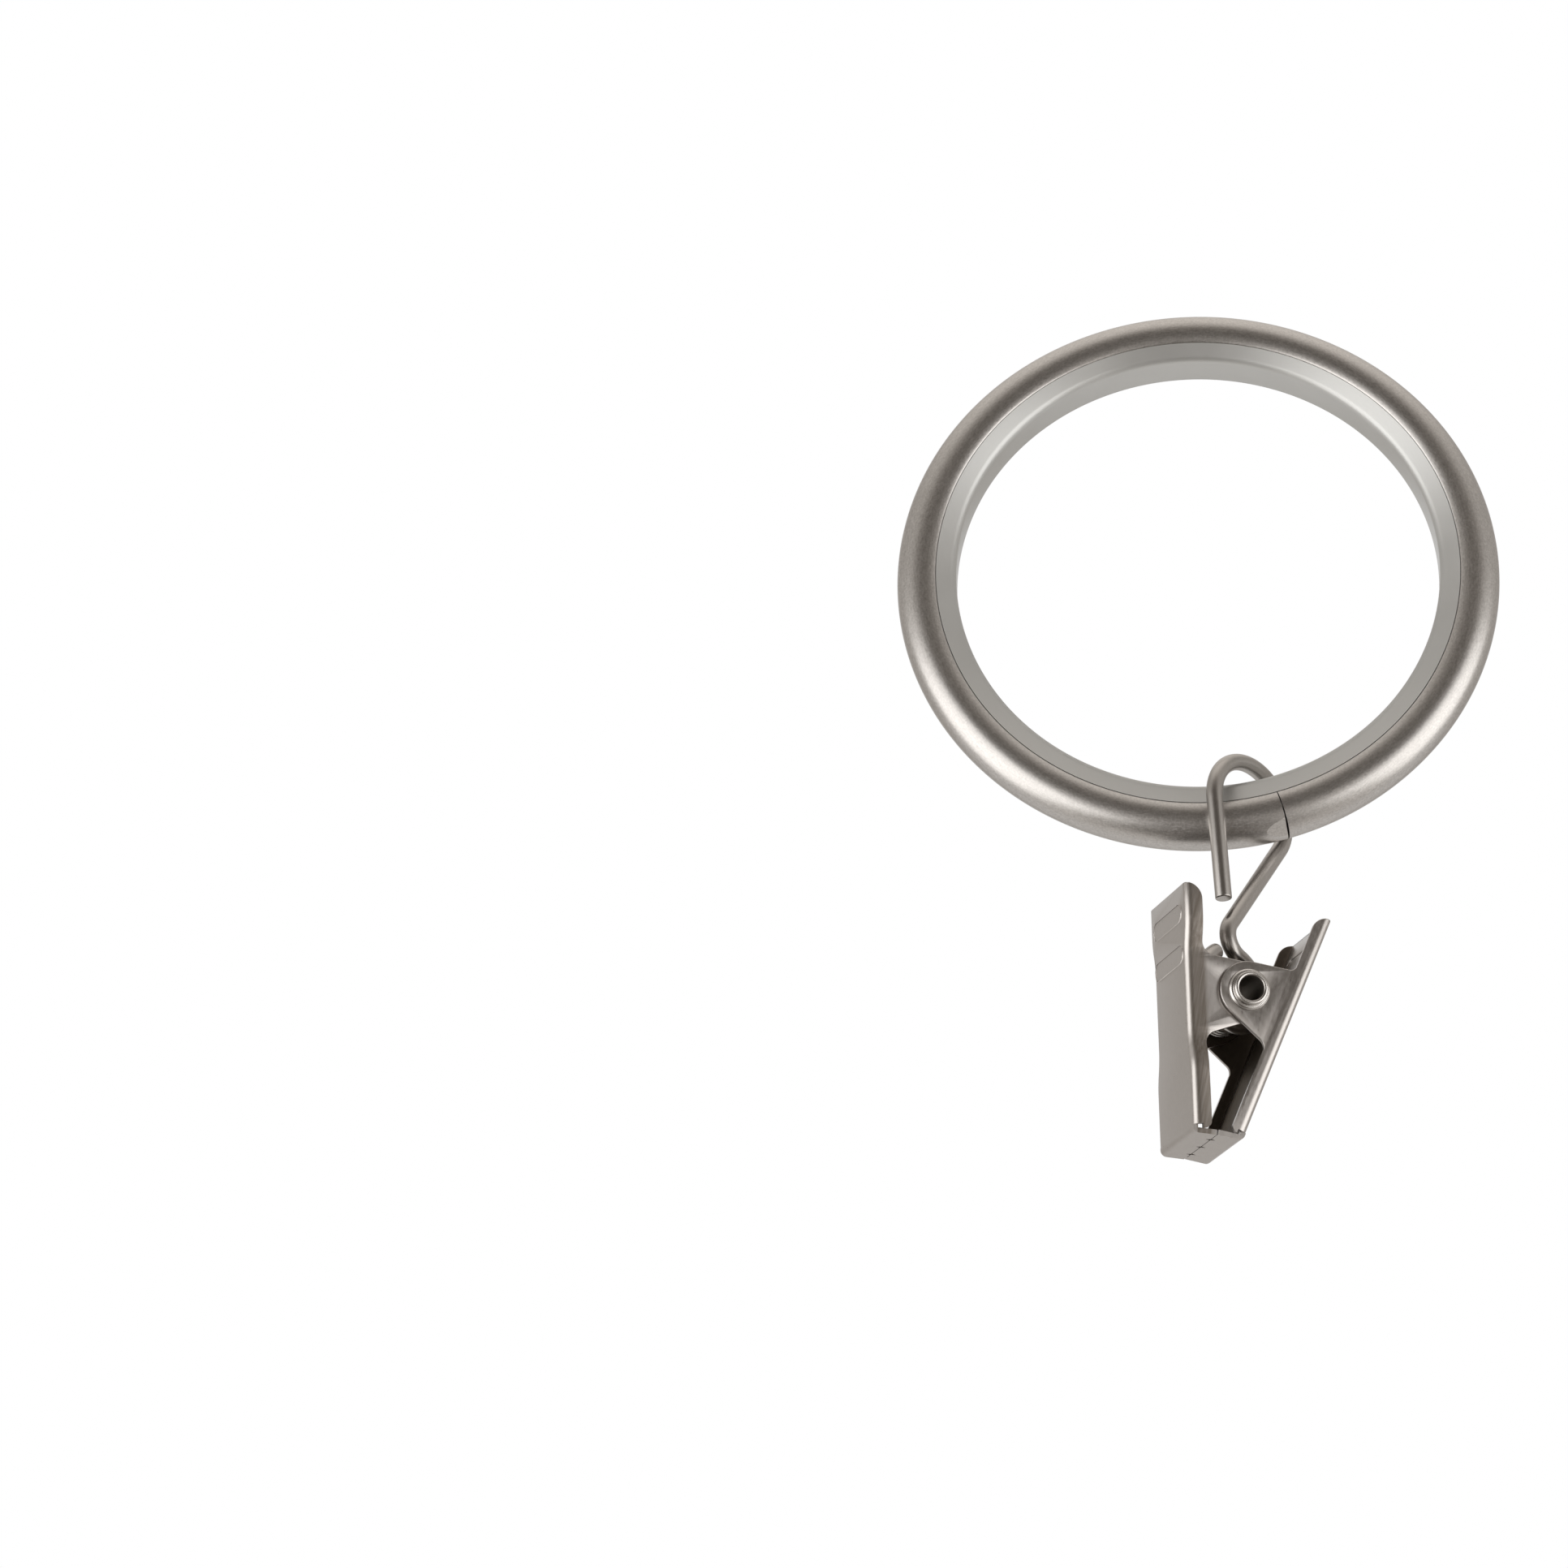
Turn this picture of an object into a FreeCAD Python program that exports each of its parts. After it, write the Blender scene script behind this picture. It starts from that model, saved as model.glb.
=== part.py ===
import math
import os
import FreeCAD
import Part
from FreeCAD import Vector, Placement, Rotation

# Millimetres. Origin at the ring's centre, the ring's axis along Y, Z up, the clip hanging below.

# Ring: a rolled channel, open towards the rod, with a plastic liner snapped into its mouth.
RING_OUTER_R = 23.7
RING_DEPTH = 4.7
RING_BORE_R = RING_OUTER_R - RING_DEPTH
TUBE_R = 2.05
RING_SHEET = 0.35
MOUTH_ANGLE = 118.0
SEAM_ANGLE = 15.9
SEAM_GAP = 0.09
FLAT_ROUND = 28.0
FLAT_DEPTH = 0.2
FLAT_TILT = 5.0
FLAT_RUN = 3.0
LINER_HALF_WIDTH = 1.7
LINER_CORNER = 0.5
LINER_GAP = 0.04
LINER_BACK = 0.25

# Hook: one bent wire, drawn in its own plane with the loop's centre at the origin.
WIRE_D = 1.3
LOOP_R = 4.0
LEG_ANGLE = 20.0
FREE_LEG = 8.45
EYE_R = 3.06
EYE_SIDE = 1.70
EYE_DROP = 16.29
BEND_R = 1.7
EYE_SWEEP = 311.0
WIRE_END_ROUND = 0.12
HOOK_INSET = 2.871
HOOK_AROUND = 9.71
HOOK_TURN = 47.4
HOOK_LEAN = 15.3

# Clip: two stamped jaws on a tubular rivet. Its own frame has X along the rivet and Y from front to rear.
RIVET_SIDE = 0.820
RIVET_OFF = 0.639
RIVET_DROP = 0.693
CLIP_TURN = -73.62
CLIP_ROLL = 11.95
CLIP_LEAN = -7.75
JAW_SHEET = 0.4
JAW_ANGLE = 12.13
FRONT_WIDTH = 10.0
REAR_WIDTH = 9.6
FRONT_DEPTH = 4.80
REAR_DEPTH = 3.95
FRONT_TOP = 8.3
REAR_TOP = 7.95
FRONT_BOTTOM = -11.05
REAR_BOTTOM = -11.0
FRONT_FLANGE = 1.38
REAR_FLANGE = 1.2
FOLD_R = 0.6
RELIEF = 0.1
EAR_R = 2.25
EAR_TOP = 2.95
EAR_LOW = -3.4
EAR_GAP = 0.05
FRONT_FILLETS = (1.1, 1.0)
REAR_FILLETS = (0.55, 0.7)
FLANGE_LIFT = 0.3
CORNER_R = 0.5
NECK_TOP = 6.0
NECK_LOW = -6.3
NECK_RUN = 3.4
LIP_INSET = 0.25
LIP_MEET = -0.5
LIP_GAP = 0.08
LIP_RISE = 6.0
NOTCH_PITCH = 2.7
NOTCH_WIDTH = 0.6
NOTCH_DEPTH = 0.35
RIB_LENGTH = 7.5
RIB_WIDTH = 1.4
RIB_HEIGHT = 0.12
RIB_FIRST = 2.1
RIB_PITCH = 3.2

# Rivet: a tube with rolled heads, fixed in the front jaw's ears; the rear jaw's ears turn on it.
BARREL_R = 1.2
BORE_R = 0.95
HEAD_R = 1.6
HEAD_T = 0.25
HEAD_STAND = 0.8
ROLL_R = 1.32
FIXED_GAP = 0.02
RUNNING_GAP = 0.05
HEAD_GAP = 0.04

# Spring: a torsion coil beside the hook's eye, one leg behind each handle.
SPRING_WIRE = 0.6
SPRING_CLEAR = 0.2
SPRING_RUN = 1.45
SPRING_TURNS = 2
SPRING_BENDS = 16
COIL_GAP = 0.07
LEG_HEIGHT = 4.6
LEG_GAP = 0.05


# The strip's two ends meet in a seam, and the end before it is pressed flat where it was closed.
def ring_channel():
    centre = RING_OUTER_R - TUBE_R
    inner = TUBE_R - RING_SHEET
    middle = TUBE_R - RING_SHEET / 2
    end = math.radians(MOUTH_ANGLE)
    tip = end + RING_SHEET / 2 / middle

    def at(r, a):
        return Vector(centre + r * math.cos(a), r * math.sin(a), 0)

    edges = [Part.Arc(at(TUBE_R, -end), at(TUBE_R, 0), at(TUBE_R, end)).toShape(),
             Part.Arc(at(TUBE_R, end), at(middle, tip), at(inner, end)).toShape(),
             Part.Arc(at(inner, end), at(inner, 0), at(inner, -end)).toShape(),
             Part.Arc(at(inner, -end), at(middle, -tip), at(TUBE_R, -end)).toShape()]
    ring = Part.Face(Part.Wire(edges)).revolve(Vector(0, 0, 0), Vector(0, 1, 0), 360)
    seam = Part.makeBox(SEAM_GAP, 4 * TUBE_R, RING_OUTER_R, Vector(-SEAM_GAP / 2, -2 * TUBE_R, -1.2 * RING_OUTER_R))
    flat = Part.makeBox(FLAT_RUN, 4 * TUBE_R, 2 * TUBE_R, Vector(-FLAT_RUN, -2 * TUBE_R, -2 * TUBE_R))
    flat.rotate(Vector(0, 0, 0), Vector(0, 1, 0), -FLAT_TILT)
    flat.translate(Vector(0, 0, FLAT_DEPTH - TUBE_R))
    flat.rotate(Vector(0, 0, 0), Vector(1, 0, 0), -FLAT_ROUND)
    flat.translate(Vector(0, 0, -centre))
    cuts = seam.fuse(flat)
    cuts.rotate(Vector(0, 0, 0), Vector(0, 1, 0), -SEAM_ANGLE)
    return ring.cut(cuts)


def ring_liner():
    centre = RING_OUTER_R - TUBE_R
    inner = TUBE_R - RING_SHEET
    end = math.radians(MOUTH_ANGLE)
    bead = inner - LINER_GAP
    neck = inner * math.sin(end) - LINER_GAP
    middle = TUBE_R - RING_SHEET / 2
    tip = end + RING_SHEET / 2 / middle
    shoulder = centre + middle * math.cos(tip) - 2 * LINER_GAP
    edge = TUBE_R * math.sin(end) - LINER_GAP
    enter = centre - math.sqrt(bead ** 2 - neck ** 2)
    back = centre + LINER_BACK
    top = math.sqrt(bead ** 2 - LINER_BACK ** 2)
    c = LINER_CORNER
    k = c * (1 - math.sqrt(0.5))
    h = LINER_HALF_WIDTH

    def side(s):
        p = [Vector(RING_BORE_R, s * (h - c), 0), Vector(RING_BORE_R + k, s * (h - k), 0),
             Vector(RING_BORE_R + c, s * h, 0), Vector(shoulder, s * edge, 0), Vector(shoulder, s * neck, 0),
             Vector(enter, s * neck, 0), Vector(centre, s * bead, 0), Vector(back, s * top, 0)]
        return [Part.Arc(p[0], p[1], p[2]).toShape(), Part.makeLine(p[2], p[3]), Part.makeLine(p[3], p[4]),
                Part.makeLine(p[4], p[5]), Part.Arc(p[5], p[6], p[7]).toShape()], p

    up, a = side(1)
    down, b = side(-1)
    edges = up + [Part.makeLine(a[7], b[7])] + down + [Part.makeLine(b[0], a[0])]
    wire = Part.Wire(Part.__sortEdges__(edges))
    return Part.Face(wire).revolve(Vector(0, 0, 0), Vector(0, 1, 0), 360)


# The loop hangs over the ring a little to one side of its lowest point.
def hook_place():
    r = RING_OUTER_R - HOOK_INSET
    a = math.radians(HOOK_AROUND)
    return Placement(Vector(r * math.sin(a), 0, -r * math.cos(a)), Rotation(HOOK_TURN, HOOK_LEAN, 0))


def hook():
    lean = math.radians(LEG_ANGLE)

    def flat(x, z):
        return Vector(x, 0, z)

    def arc(cx, cz, r, a0, a1):
        pts = [flat(cx + r * math.cos(a), cz + r * math.sin(a)) for a in (a0, (a0 + a1) / 2, a1)]
        return Part.Arc(*pts).toShape()

    left = flat(-LOOP_R * math.cos(lean), -LOOP_R * math.sin(lean))
    right = flat(LOOP_R * math.cos(lean), -LOOP_R * math.sin(lean))
    free = left + flat(math.sin(lean), -math.cos(lean)) * FREE_LEG
    down = flat(-math.sin(lean), -math.cos(lean))
    side = flat(math.cos(lean), -math.sin(lean))
    eye = flat(EYE_SIDE, -EYE_DROP)
    # The bend touches the back leg and the eye from outside, which gives the back leg's length.
    away = right + side * BEND_R - eye
    b = away.dot(down)
    length = -b - math.sqrt(b * b - away.dot(away) + (BEND_R + EYE_R) ** 2)
    low = right + down * length
    bend = low + side * BEND_R
    toward = (eye - bend).normalize()
    a0 = math.atan2(-side.z, -side.x)
    a1 = math.atan2(toward.z, toward.x) % (2 * math.pi)
    a0 = a0 % (2 * math.pi)
    if a1 < a0:
        a1 += 2 * math.pi
    e0 = math.atan2(-toward.z, -toward.x)
    edges = [Part.makeLine(free, left), arc(0, 0, LOOP_R, math.pi + lean, -lean), Part.makeLine(right, low),
             arc(bend.x, bend.z, BEND_R, a0, a1), arc(eye.x, eye.z, EYE_R, e0, e0 - math.radians(EYE_SWEEP))]
    path = Part.Wire(edges)
    circle = Part.Wire(Part.makeCircle(WIRE_D / 2, free, (left - free).normalize()))
    wire = path.makePipeShell([circle], True, False)
    ends = [e for e in wire.Edges if e.Curve.TypeId == "Part::GeomCircle"
            and abs(e.Curve.Radius - WIRE_D / 2) < 1e-6 and e.Length > 0.9 * math.pi * WIRE_D]
    tips = [path.Vertexes[0].Point, path.Vertexes[-1].Point]
    ends = [e for e in ends if min((e.Curve.Center - t).Length for t in tips) < 1e-4]
    wire = wire.makeFillet(WIRE_END_ROUND, ends)
    wire.Placement = hook_place()
    return wire


def prism(points, x0, x1):
    pts = [Vector(x0, q, u) for q, u in points]
    return Part.Face(Part.makePolygon(pts + pts[:1])).extrude(Vector(x1 - x0, 0, 0))


def edges_at(shape, places):
    found = []
    for e in shape.Edges:
        a, b = e.Vertexes[0].Point, e.Vertexes[-1].Point
        if abs(a.y - b.y) < 1e-6 and abs(a.z - b.z) < 1e-6 and abs(a.x - b.x) > 1e-3:
            if any(abs(a.y - q) < 1e-4 and abs(a.z - u) < 1e-4 for q, u in places):
                found.append(e)
    return found


def tangent(base, centre, r, sign):
    dx, dy = base[0] - centre[0], base[1] - centre[1]
    turn = math.atan2(dy, dx) + sign * math.acos(r / math.hypot(dx, dy))
    return centre[0] + r * math.cos(turn), centre[1] + r * math.sin(turn)


# The side of a jaw: a strip along the face with an ear that runs to the rivet, as a prism across the width.
def side_prism(width, depth, flange, top, bottom, fillets):
    x = width
    low = bottom + FLANGE_LIFT
    strip = prism([(-flange, low), (flange, low), (flange, top), (-flange, top)], -x, x)
    upper = tangent((flange, EAR_TOP), (depth, 0), EAR_R, -1)
    lower = tangent((flange, EAR_LOW), (depth, 0), EAR_R, 1)
    ear = prism([(0, EAR_LOW), (flange, EAR_LOW), lower, (depth, 0), upper, (flange, EAR_TOP), (0, EAR_TOP)], -x, x)
    end = Part.makeCylinder(EAR_R, 2 * x, Vector(-x, depth, 0), Vector(1, 0, 0))
    body = strip.fuse([ear, end]).removeSplitter()
    body = body.makeFillet(fillets[0], edges_at(body, [(flange, EAR_TOP)]))
    body = body.makeFillet(fillets[1], edges_at(body, [(flange, EAR_LOW)]))
    body = body.makeFillet(0.96 * flange, edges_at(body, [(flange, top)]))
    return body.makeFillet(CORNER_R, edges_at(body, [(flange, low)]))


# The face of a jaw, seen from the front, grown inwards; inset narrows it to a neck beside the rivet.
def face_block(half, inset, top, bottom, back, front, shift, fold):
    def bow(a, b, r, sign):
        middle = (a + b) * 0.5
        chord = b - a
        out = Vector(chord.z, 0, -chord.x).normalize() * sign
        sag = r - math.sqrt(r * r - chord.Length ** 2 / 4)
        return Part.Arc(a, middle + out * sag, b).toShape()

    def side(s):
        p = [Vector(s * half, front, top), Vector(s * half, front, NECK_TOP)]
        if inset == 0:
            return [Part.makeLine(Vector(s * half, front, top), Vector(s * half, front, bottom))]
        r = (NECK_RUN ** 2 + inset ** 2) / (4 * inset)
        m = half - inset / 2
        p += [Vector(s * m, front, NECK_TOP - NECK_RUN / 2), Vector(s * (half - inset), front, NECK_TOP - NECK_RUN),
              Vector(s * (half - inset), front, NECK_LOW + NECK_RUN), Vector(s * m, front, NECK_LOW + NECK_RUN / 2),
              Vector(s * half, front, NECK_LOW), Vector(s * half, front, bottom)]
        grow = shift
        return [Part.makeLine(p[0], p[1]), bow(p[1], p[2], r - grow, -s), bow(p[2], p[3], r + grow, s),
                Part.makeLine(p[3], p[4]), bow(p[4], p[5], r + grow, s), bow(p[5], p[6], r - grow, -s),
                Part.makeLine(p[6], p[7])]

    near, far = side(1), side(-1)
    edges = near + far + [Part.makeLine(Vector(-half, front, top), Vector(half, front, top)),
                          Part.makeLine(Vector(-half, front, bottom), Vector(half, front, bottom))]
    block = Part.Face(Part.Wire(Part.__sortEdges__(edges))).extrude(Vector(0, back - front, 0))
    chain = [e for e in block.Edges if all(abs(v.Point.y - front) < 1e-6 for v in e.Vertexes)
             and abs(e.Vertexes[0].Point.z - e.Vertexes[-1].Point.z) > 1e-3]
    return block.makeFillet(fold, chain)


def stadium(length, width, y0, y1, z, edge):
    x = length / 2 - width / 2
    r = width / 2
    wire = Part.Wire([Part.makeLine(Vector(-x, y0, z + r), Vector(x, y0, z + r)),
                      Part.Arc(Vector(x, y0, z + r), Vector(x + r, y0, z), Vector(x, y0, z - r)).toShape(),
                      Part.makeLine(Vector(x, y0, z - r), Vector(-x, y0, z - r)),
                      Part.Arc(Vector(-x, y0, z - r), Vector(-x - r, y0, z), Vector(-x, y0, z + r)).toShape()])
    body = Part.Face(wire).extrude(Vector(0, y1 - y0, 0))
    rim = [e for e in body.Edges if all(abs(v.Point.y - y1) < 1e-6 for v in e.Vertexes)]
    return body.makeFillet(edge, rim)


def jaw(width, inset, depth, flange, top, bottom, fillets, lip, lip_angle, hole):
    t = JAW_SHEET
    back = depth + 2 * EAR_R
    shell = face_block(width / 2, inset, top, bottom, back, 0, 0, FOLD_R)
    hollow = face_block(width / 2 - t, inset, top + t, bottom - t, back + t, t, 0, FOLD_R - t)
    body = shell.cut(hollow).common(side_prism(width, depth, flange, top, bottom, fillets))
    relief = bottom + FOLD_R
    edge = FOLD_R + RELIEF
    body = body.cut(prism([(-t, bottom - t), (edge, bottom - t), (edge, relief), (-t, relief)], -width, width))
    a = math.radians(lip_angle)
    end = (lip * math.cos(a), bottom - lip * math.sin(a))
    up = (end[0] + t * math.sin(a), end[1] + t * math.cos(a))
    root = (t, up[1] + (up[0] - t) * math.tan(a))
    x = REAR_WIDTH / 2 - LIP_INSET
    tab = prism([(0, relief), (0, bottom), end, up, root, (t, relief)], -x, x)
    tab = tab.makeFillet(FOLD_R - RELIEF, edges_at(tab, [(0, bottom)]))
    for i in (-1, 0, 1):
        x = i * NOTCH_PITCH
        z = end[1] - t
        out = end[0] + t / 2
        tooth = Part.Face(Part.makePolygon([Vector(x - NOTCH_WIDTH / 2, out, z),
                                            Vector(x + NOTCH_WIDTH / 2, out, z),
                                            Vector(x, end[0] - NOTCH_DEPTH, z),
                                            Vector(x - NOTCH_WIDTH / 2, out, z)]))
        tab = tab.cut(tooth.extrude(Vector(0, 0, 3 * t)))
    body = body.fuse(tab)
    for i in (0, 1):
        z = top - RIB_FIRST - i * RIB_PITCH
        body = body.fuse(stadium(RIB_LENGTH, RIB_WIDTH, t / 2, -RIB_HEIGHT, z, RIB_HEIGHT * 0.8))
        body = body.cut(stadium(RIB_LENGTH - t, RIB_WIDTH - t, 2 * t, t - RIB_HEIGHT, z, RIB_HEIGHT * 0.6))
    bore = Part.makeCylinder(hole, 2 * width, Vector(-width, depth, 0), Vector(1, 0, 0))
    body = body.cut(bore).removeSplitter()
    body.translate(Vector(0, -depth, 0))
    return body


def front_jaw():
    inset = (FRONT_WIDTH - REAR_WIDTH) / 2 + JAW_SHEET + EAR_GAP
    a = math.radians(JAW_ANGLE)
    corner = -FRONT_DEPTH * math.cos(a) - FRONT_BOTTOM * math.sin(a)
    lip = (LIP_MEET - LIP_GAP / 2 - corner) / math.cos(math.radians(LIP_RISE))
    body = jaw(FRONT_WIDTH, inset, FRONT_DEPTH, FRONT_FLANGE, FRONT_TOP, FRONT_BOTTOM, FRONT_FILLETS, lip,
               JAW_ANGLE - LIP_RISE, BARREL_R + FIXED_GAP)
    body.rotate(Vector(0, 0, 0), Vector(1, 0, 0), JAW_ANGLE)
    return body


def rear_jaw():
    a = math.radians(JAW_ANGLE)
    corner = REAR_DEPTH * math.cos(a) + REAR_BOTTOM * math.sin(a)
    lip = corner - LIP_MEET - LIP_GAP / 2
    body = jaw(REAR_WIDTH, 0, REAR_DEPTH, REAR_FLANGE, REAR_TOP, REAR_BOTTOM, REAR_FILLETS, lip,
               JAW_ANGLE, BARREL_R + RUNNING_GAP)
    body.rotate(Vector(0, 0, 0), Vector(0, 0, 1), 180)
    body.rotate(Vector(0, 0, 0), Vector(1, 0, 0), -JAW_ANGLE)
    return body


def rivet():
    seat = REAR_WIDTH / 2 + HEAD_GAP
    end = REAR_WIDTH / 2 + HEAD_STAND
    roll = (ROLL_R - BORE_R) / 2
    mid = (ROLL_R + BORE_R) / 2

    def half(s):
        p = [Vector(s * seat, BARREL_R, 0), Vector(s * seat, HEAD_R, 0), Vector(s * (seat + HEAD_T * 0.5), HEAD_R, 0),
             Vector(s * (seat + HEAD_T), (ROLL_R + HEAD_R) / 2, 0), Vector(s * (seat + HEAD_T), ROLL_R, 0),
             Vector(s * (end - roll), ROLL_R, 0), Vector(s * end, mid, 0), Vector(s * (end - roll), BORE_R, 0)]
        return [Part.makeLine(p[0], p[1]), Part.makeLine(p[1], p[2]), Part.makeLine(p[2], p[3]),
                Part.makeLine(p[3], p[4]), Part.makeLine(p[4], p[5]), Part.Arc(p[5], p[6], p[7]).toShape()], p

    near, a = half(1)
    far, b = half(-1)
    edges = near + far + [Part.makeLine(a[0], b[0]), Part.makeLine(a[7], b[7])]
    face = Part.Face(Part.Wire(Part.__sortEdges__(edges)))
    return face.revolve(Vector(0, 0, 0), Vector(1, 0, 0), 360)


# The coil is drawn about Z, with X towards the rear jaw and Y up, and then turned onto the rivet's axis.
# Its line is a chain of arcs that keep the helix's heading, so the wire is one smooth run of round bends.
def spring():
    from_end = -(REAR_WIDTH / 2 - 2 * JAW_SHEET - EAR_GAP - SPRING_CLEAR - SPRING_WIRE / 2)
    r = BARREL_R + COIL_GAP + SPRING_WIRE / 2
    a = math.radians(JAW_ANGLE)
    reach = JAW_SHEET + SPRING_WIRE / 2 + LEG_GAP
    front = (-(FRONT_DEPTH - reach) * math.cos(a) - LEG_HEIGHT * math.sin(a),
             -(FRONT_DEPTH - reach) * math.sin(a) + LEG_HEIGHT * math.cos(a))
    rear = ((REAR_DEPTH - reach) * math.cos(a) + LEG_HEIGHT * math.sin(a),
            -(REAR_DEPTH - reach) * math.sin(a) + LEG_HEIGHT * math.cos(a))
    start = math.atan2(front[1], front[0]) + math.acos(r / math.hypot(*front))
    stop = math.atan2(rear[1], rear[0]) - math.acos(r / math.hypot(*rear))
    sweep = (stop - start) % (2 * math.pi) + SPRING_TURNS * 2 * math.pi

    def on_coil(t):
        turn = stop - sweep * t
        return Vector(r * math.cos(turn), r * math.sin(turn), from_end + SPRING_RUN * t)

    def heading(t):
        turn = stop - sweep * t
        return Vector(sweep * r * math.sin(turn), -sweep * r * math.cos(turn), SPRING_RUN).normalize()

    def straight(ring, step):
        faces.append(ring.extrude(step))
        moved = ring.copy()
        moved.translate(step)
        return moved

    def bent(ring, p, q, way):
        chord = q - p
        axis = way.cross(chord)
        half = math.atan2(axis.Length, way.dot(chord))
        axis.normalize()
        centre = p + axis.cross(way) * (chord.Length / 2 / math.sin(half))
        faces.append(ring.revolve(centre, axis, math.degrees(2 * half)))
        moved = ring.copy()
        moved.rotate(centre, axis, math.degrees(2 * half))
        return moved

    low, high = on_coil(0), on_coil(1)
    low_tip = low - heading(0) * math.hypot(rear[0] - low.x, rear[1] - low.y)
    high_tip = high + heading(1) * math.hypot(front[0] - high.x, front[1] - high.y)
    ring = Part.makeCircle(SPRING_WIRE / 2, low_tip, heading(0))
    faces = [Part.Face(Part.Wire(ring))]
    ring = straight(ring, low - low_tip)
    for i in range(SPRING_BENDS):
        p, q = on_coil(i / SPRING_BENDS), on_coil((i + 1) / SPRING_BENDS)
        leave, arrive = heading(i / SPRING_BENDS), heading((i + 1) / SPRING_BENDS)
        gap = q - p
        k = 2 * (1 - leave.dot(arrive))
        b = gap.dot(leave + arrive)
        d = (math.sqrt(b * b + k * gap.dot(gap)) - b) / k
        joint = (p + q + (leave - arrive) * d) * 0.5
        ring = bent(ring, p, joint, leave)
        ring = bent(ring, joint, q, (joint - p - leave * d).normalize())
    ring = straight(ring, high_tip - high)
    faces.append(Part.Face(Part.Wire(ring)))
    skin = Part.Compound(faces)
    skin.sewShape()
    body = Part.Solid(skin.Shells[0])
    if body.Volume < 0:
        body.reverse()
    body.rotate(Vector(0, 0, 0), Vector(1, 1, 1), 120)
    return body


# The rivet rests in the low side of the hook's eye, and the whole clip hangs on the rivet.
def on_clip(shape):
    centre = hook_place().multVec(Vector(EYE_SIDE + RIVET_SIDE, RIVET_OFF, -EYE_DROP - RIVET_DROP))
    body = shape.copy()
    body.Placement = Placement(centre, Rotation(CLIP_TURN, CLIP_ROLL, CLIP_LEAN)).multiply(body.Placement)
    return body


nodes = {"ring_channel": ring_channel(), "ring_liner": ring_liner(), "hook": hook(),
         "front_jaw": on_clip(front_jaw()), "rear_jaw": on_clip(rear_jaw()), "rivet": on_clip(rivet()),
         "spring": on_clip(spring())}

os.makedirs("parts", exist_ok=True)
for name, shape in nodes.items():
    box = shape.BoundBox
    print(name, shape.ShapeType, len(shape.Solids), "valid", shape.isValid(), "volume", round(shape.Volume, 2),
          "x", round(box.XMin, 2), round(box.XMax, 2), "y", round(box.YMin, 2), round(box.YMax, 2),
          "z", round(box.ZMin, 2), round(box.ZMax, 2))
    shape.exportStep("parts/%s.step" % name)
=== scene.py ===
# %% [markdown]
# # A curtain ring with a spring clip
# The solids of the part arrive as a frame: seven nodes, each on its own body, in metres.
# This script dresses them. It makes the round and bent pieces again as smooth meshes, gives every
# surface a finish, and sets a small studio around the ring.

# %% Load the frame
import math
import bpy
import bmesh
from mathutils import Matrix, Vector


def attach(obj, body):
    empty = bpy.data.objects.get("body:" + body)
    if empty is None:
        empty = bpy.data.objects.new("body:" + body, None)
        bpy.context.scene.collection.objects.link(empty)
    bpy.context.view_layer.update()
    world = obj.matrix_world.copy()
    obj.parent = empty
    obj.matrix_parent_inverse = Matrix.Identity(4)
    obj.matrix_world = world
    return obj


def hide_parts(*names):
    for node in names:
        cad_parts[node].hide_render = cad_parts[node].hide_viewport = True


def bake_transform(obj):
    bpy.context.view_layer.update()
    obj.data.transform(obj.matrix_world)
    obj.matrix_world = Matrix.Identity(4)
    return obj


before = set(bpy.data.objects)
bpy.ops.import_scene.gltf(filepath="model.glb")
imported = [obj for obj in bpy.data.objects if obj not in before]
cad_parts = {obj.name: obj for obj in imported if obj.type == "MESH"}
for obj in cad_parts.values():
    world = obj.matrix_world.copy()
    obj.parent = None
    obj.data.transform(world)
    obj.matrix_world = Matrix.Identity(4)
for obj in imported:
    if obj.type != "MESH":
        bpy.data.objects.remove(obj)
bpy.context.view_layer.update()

MM = 0.001
print("nodes", sorted(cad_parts))

# %% [markdown]
# ## Where the pieces hang
# The ring's centre is the origin and its axis is Y. The hook is drawn flat in its own plane and then
# turned and leaned, and the clip hangs on a rivet that rests in the hook's eye. Writing each place
# once as a matrix keeps every later piece in step with the solids.

# %% Places
RING_OUTER = 23.7 * MM
RING_BORE = 19.0 * MM
TUBE = 2.05 * MM
RING_MIDDLE = RING_OUTER - TUBE
HOOK_RADIUS = 20.829 * MM
HOOK_AROUND = math.radians(9.71)
HOOK_TURN = (0.0, math.radians(15.3), math.radians(47.4))
EYE = Vector((1.70, 0.0, -16.29)) * MM
RIVET_IN_EYE = Vector((0.820, 0.639, -0.693)) * MM
CLIP_TURN = (math.radians(-7.75), math.radians(11.95), math.radians(-73.62))


def place(point, turn):
    roll, pitch, yaw = turn
    turned = Matrix.Rotation(yaw, 4, "Z") @ Matrix.Rotation(pitch, 4, "Y") @ Matrix.Rotation(roll, 4, "X")
    return Matrix.Translation(point) @ turned


hook_point = Vector((math.sin(HOOK_AROUND), 0, -math.cos(HOOK_AROUND))) * HOOK_RADIUS
hook_place = place(hook_point, HOOK_TURN)
clip_place = place(hook_place @ (EYE + RIVET_IN_EYE), CLIP_TURN)
print("rivet at, in mm", [round(v / MM, 3) for v in clip_place.translation])

# %% [markdown]
# ## Small helpers for Geometry Nodes
# A tree is a recipe: it takes a drawn line, some sizes and a material, and gives a mesh. These
# functions make an empty tree with named inputs, add a node or a little arithmetic, and close the
# tree with the steps that every piece needs.

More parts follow.
